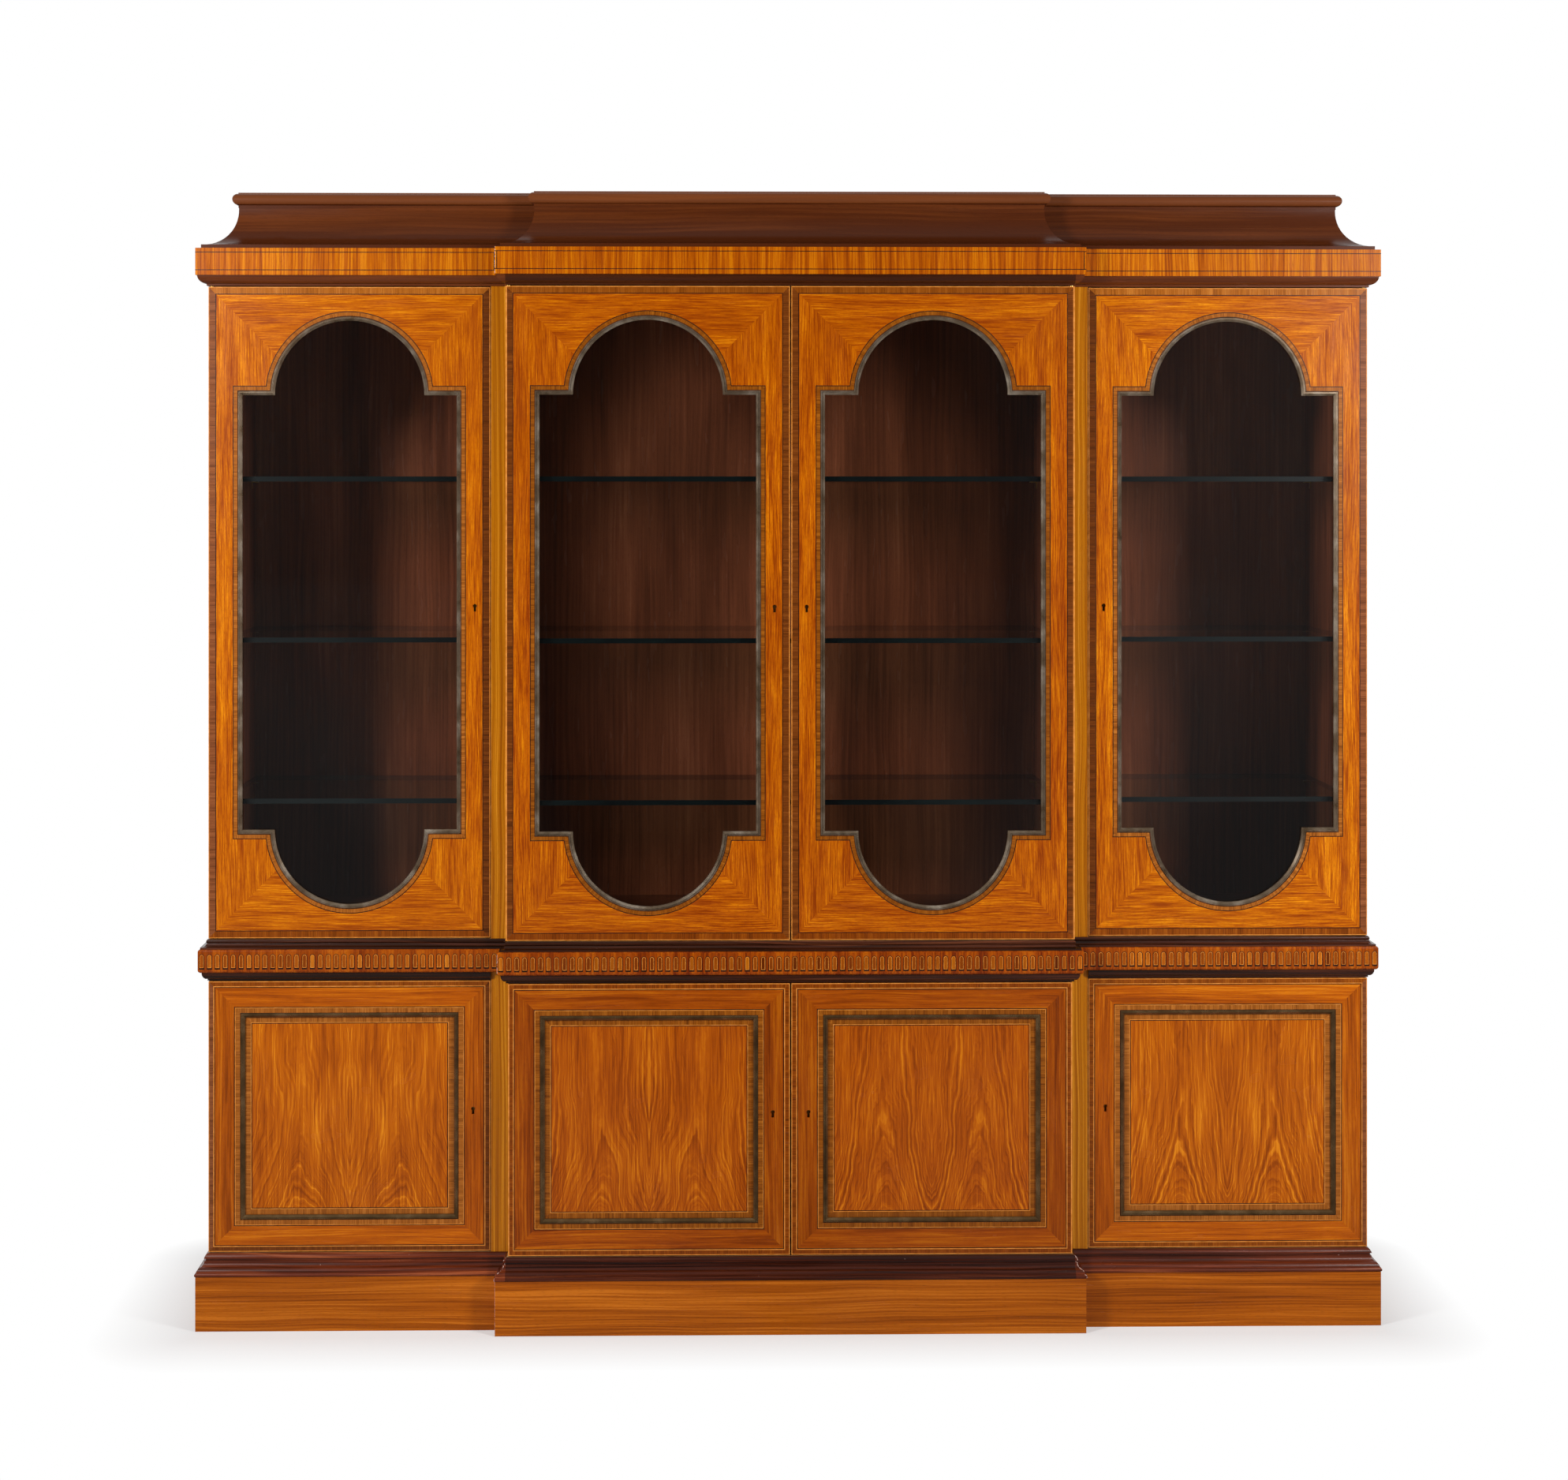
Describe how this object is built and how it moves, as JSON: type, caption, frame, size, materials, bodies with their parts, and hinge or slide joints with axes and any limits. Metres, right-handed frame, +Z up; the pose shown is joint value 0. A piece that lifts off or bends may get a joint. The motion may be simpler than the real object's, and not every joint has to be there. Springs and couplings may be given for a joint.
{
  "type": "breakfront bookcase",
  "caption": "Breakfront bookcase: glazed doors with shaped openings over panelled cupboard doors, fluted waist band, plinth and hollow cornice.",
  "frame": {"origin": "on the floor, in the middle of the footprint", "axes": "+Z up, the front with its doors faces -Y, +X to the right seen from the front"},
  "size_m": [2.338, 0.51, 2.24],
  "materials": {
    "satinwood": "polished satinwood veneer with inlaid lines",
    "mahogany": "polished dark mahogany",
    "case_timber": "waxed red-brown carcase timber",
    "glass": "clear plate glass",
    "brass": "dull aged brass"
  },
  "bodies": {
    "carcase": {"back_panels": "case_timber", "base_framing": "case_timber", "base_moulding": "mahogany", "case_hardware": "brass", "cornice_framing": "case_timber", "cornice_moulding": "mahogany", "cornice_under_moulding": "mahogany", "fixed_stiles": "satinwood", "frieze": "satinwood", "glass_shelves": "glass", "lower_case_floors_and_tops": "case_timber", "lower_case_sides": "case_timber", "lower_shelves": "case_timber", "plinth": "satinwood", "shelf_supports": "brass", "upper_case_floors_and_tops": "case_timber", "upper_case_sides": "case_timber", "waist_band": "satinwood", "waist_framing": "case_timber", "waist_mouldings": "mahogany"},
    "upper_left_wing_door": {"upper_left_wing_door_frame": "satinwood", "upper_left_wing_door_glass": "glass", "upper_left_wing_door_bead": "brass", "upper_left_wing_door_hardware": "brass"},
    "upper_left_wing_bolt": {"upper_left_wing_door_bolt": "brass"},
    "upper_left_centre_door": {"upper_left_centre_door_frame": "satinwood", "upper_left_centre_door_glass": "glass", "upper_left_centre_door_bead": "brass", "upper_left_centre_door_hardware": "brass"},
    "upper_left_centre_bolt": {"upper_left_centre_door_bolt": "brass"},
    "upper_right_wing_door": {"upper_right_wing_door_frame": "satinwood", "upper_right_wing_door_glass": "glass", "upper_right_wing_door_bead": "brass", "upper_right_wing_door_hardware": "brass"},
    "upper_right_wing_bolt": {"upper_right_wing_door_bolt": "brass"},
    "upper_right_centre_door": {"upper_right_centre_door_frame": "satinwood", "upper_right_centre_door_glass": "glass", "upper_right_centre_door_bead": "brass", "upper_right_centre_door_hardware": "brass"},
    "upper_right_centre_bolt": {"upper_right_centre_door_bolt": "brass"},
    "lower_left_wing_door": {"lower_left_wing_door_frame": "satinwood", "lower_left_wing_door_panel": "satinwood", "lower_left_wing_door_bead": "brass", "lower_left_wing_door_hardware": "brass"},
    "lower_left_wing_bolt": {"lower_left_wing_door_bolt": "brass"},
    "lower_left_centre_door": {"lower_left_centre_door_frame": "satinwood", "lower_left_centre_door_panel": "satinwood", "lower_left_centre_door_bead": "brass", "lower_left_centre_door_hardware": "brass"},
    "lower_left_centre_bolt": {"lower_left_centre_door_bolt": "brass"},
    "lower_right_wing_door": {"lower_right_wing_door_frame": "satinwood", "lower_right_wing_door_panel": "satinwood", "lower_right_wing_door_bead": "brass", "lower_right_wing_door_hardware": "brass"},
    "lower_right_wing_bolt": {"lower_right_wing_door_bolt": "brass"},
    "lower_right_centre_door": {"lower_right_centre_door_frame": "satinwood", "lower_right_centre_door_panel": "satinwood", "lower_right_centre_door_bead": "brass", "lower_right_centre_door_hardware": "brass"},
    "lower_right_centre_bolt": {"lower_right_centre_door_bolt": "brass"}
  },
  "joints": [
    {"name": "upper_left_wing_door_hinge", "type": "hinge", "parent": "carcase", "child": "upper_left_wing_door", "pos_m": [-1.14, -0.182, 0.767], "axis": [0, 0, -1], "range_deg": [0, 100]},
    {"name": "upper_left_wing_bolt_slide", "type": "slide", "parent": "upper_left_wing_door", "child": "upper_left_wing_bolt", "axis": [1, 0, 0], "range_m": [0, 0.008]},
    {"name": "upper_left_centre_door_hinge", "type": "hinge", "parent": "carcase", "child": "upper_left_centre_door", "pos_m": [-0.5535, -0.22, 0.767], "axis": [0, 0, -1], "range_deg": [0, 100]},
    {"name": "upper_left_centre_bolt_slide", "type": "slide", "parent": "upper_left_centre_door", "child": "upper_left_centre_bolt", "axis": [0, 0, -1], "range_m": [0, 0.008]},
    {"name": "upper_right_wing_door_hinge", "type": "hinge", "parent": "carcase", "child": "upper_right_wing_door", "pos_m": [1.14, -0.182, 0.767], "axis": [0, 0, 1], "range_deg": [0, 100]},
    {"name": "upper_right_wing_bolt_slide", "type": "slide", "parent": "upper_right_wing_door", "child": "upper_right_wing_bolt", "axis": [-1, 0, 0], "range_m": [0, 0.008]},
    {"name": "upper_right_centre_door_hinge", "type": "hinge", "parent": "carcase", "child": "upper_right_centre_door", "pos_m": [0.5535, -0.22, 0.767], "axis": [0, 0, 1], "range_deg": [0, 100]},
    {"name": "upper_right_centre_bolt_slide", "type": "slide", "parent": "upper_right_centre_door", "child": "upper_right_centre_bolt", "axis": [-1, 0, 0], "range_m": [0, 0.008]},
    {"name": "lower_left_wing_door_hinge", "type": "hinge", "parent": "carcase", "child": "lower_left_wing_door", "pos_m": [-1.14, -0.182, 0.15], "axis": [0, 0, -1], "range_deg": [0, 100]},
    {"name": "lower_left_wing_bolt_slide", "type": "slide", "parent": "lower_left_wing_door", "child": "lower_left_wing_bolt", "axis": [1, 0, 0], "range_m": [0, 0.008]},
    {"name": "lower_left_centre_door_hinge", "type": "hinge", "parent": "carcase", "child": "lower_left_centre_door", "pos_m": [-0.5485, -0.22, 0.15], "axis": [0, 0, -1], "range_deg": [0, 100]},
    {"name": "lower_left_centre_bolt_slide", "type": "slide", "parent": "lower_left_centre_door", "child": "lower_left_centre_bolt", "axis": [0, 0, -1], "range_m": [0, 0.008]},
    {"name": "lower_right_wing_door_hinge", "type": "hinge", "parent": "carcase", "child": "lower_right_wing_door", "pos_m": [1.14, -0.182, 0.15], "axis": [0, 0, 1], "range_deg": [0, 100]},
    {"name": "lower_right_wing_bolt_slide", "type": "slide", "parent": "lower_right_wing_door", "child": "lower_right_wing_bolt", "axis": [-1, 0, 0], "range_m": [0, 0.008]},
    {"name": "lower_right_centre_door_hinge", "type": "hinge", "parent": "carcase", "child": "lower_right_centre_door", "pos_m": [0.5485, -0.22, 0.15], "axis": [0, 0, 1], "range_deg": [0, 100]},
    {"name": "lower_right_centre_bolt_slide", "type": "slide", "parent": "lower_right_centre_door", "child": "lower_right_centre_bolt", "axis": [-1, 0, 0], "range_m": [0, 0.008]}
  ]
}
